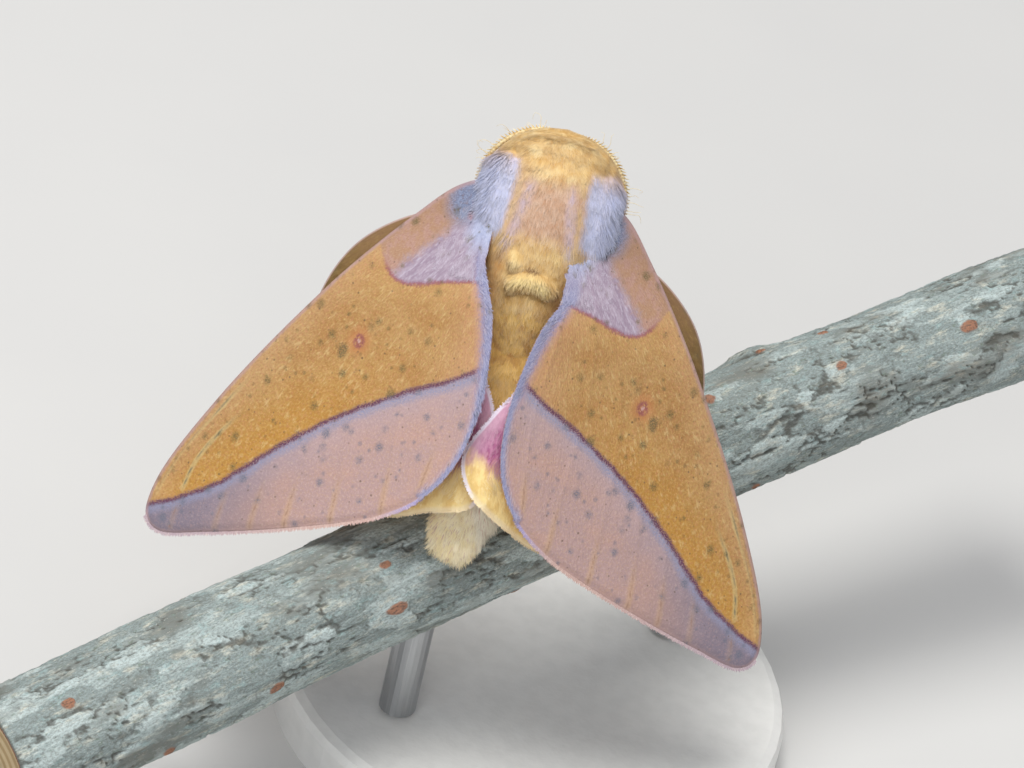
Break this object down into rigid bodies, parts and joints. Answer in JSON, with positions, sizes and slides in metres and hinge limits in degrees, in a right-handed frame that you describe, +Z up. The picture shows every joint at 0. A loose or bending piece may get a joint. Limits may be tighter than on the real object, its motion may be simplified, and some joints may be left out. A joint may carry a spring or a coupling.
{
  "type": "moth display model",
  "caption": "Life-size still model of a honey locust moth at rest, wings roofed over its back, head up on a cut twig held by a plain display stand.",
  "frame": {"origin": "middle of the stand base's flat underside, on the surface that it stands on", "axes": "+Z up; +Y the way that the moth's head points, seen from above; +X to the moth's right, so its left-right mid-plane is parallel to YZ"},
  "size_m": [0.0664, 0.0618, 0.0417],
  "materials": {
    "stand_plate": "matt off-white",
    "stand_steel": "fine brushed",
    "bark": "weathered grey bark with cream scales and orange-brown pores",
    "thorax_coat": "dense fur, peach and lavender in front, golden behind",
    "head_coat": "dense yellow-orange fur",
    "abdomen_coat": "olive-gold fur",
    "tail_coat": "pale yellow tuft",
    "eye": "dark, glossy, finely faceted",
    "feeler": "straw-coloured, feathered",
    "forewing": "matt scales, orange-ochre and lilac-pink",
    "hindwing": "matt scales, ochre, magenta and pale yellow",
    "leg": "rosy brown fur"
  },
  "bodies": {
    "root": {"stand_base": "stand_plate", "stand_rod_left": "stand_steel", "stand_rod_right": "stand_steel", "perch_twig": "bark", "thorax": "thorax_coat", "head": "head_coat", "abdomen": "abdomen_coat", "abdomen_tuft": "tail_coat", "eye_left": "eye", "eye_right": "eye", "antenna_left": "feeler", "antenna_right": "feeler", "forewing_left": "forewing", "forewing_right": "forewing", "hindwing_left": "hindwing", "hindwing_right": "hindwing", "foreleg_left": "leg", "foreleg_right": "leg", "midleg_left": "leg", "midleg_right": "leg", "hindleg_left": "leg", "hindleg_right": "leg"}
  },
  "joints": []
}
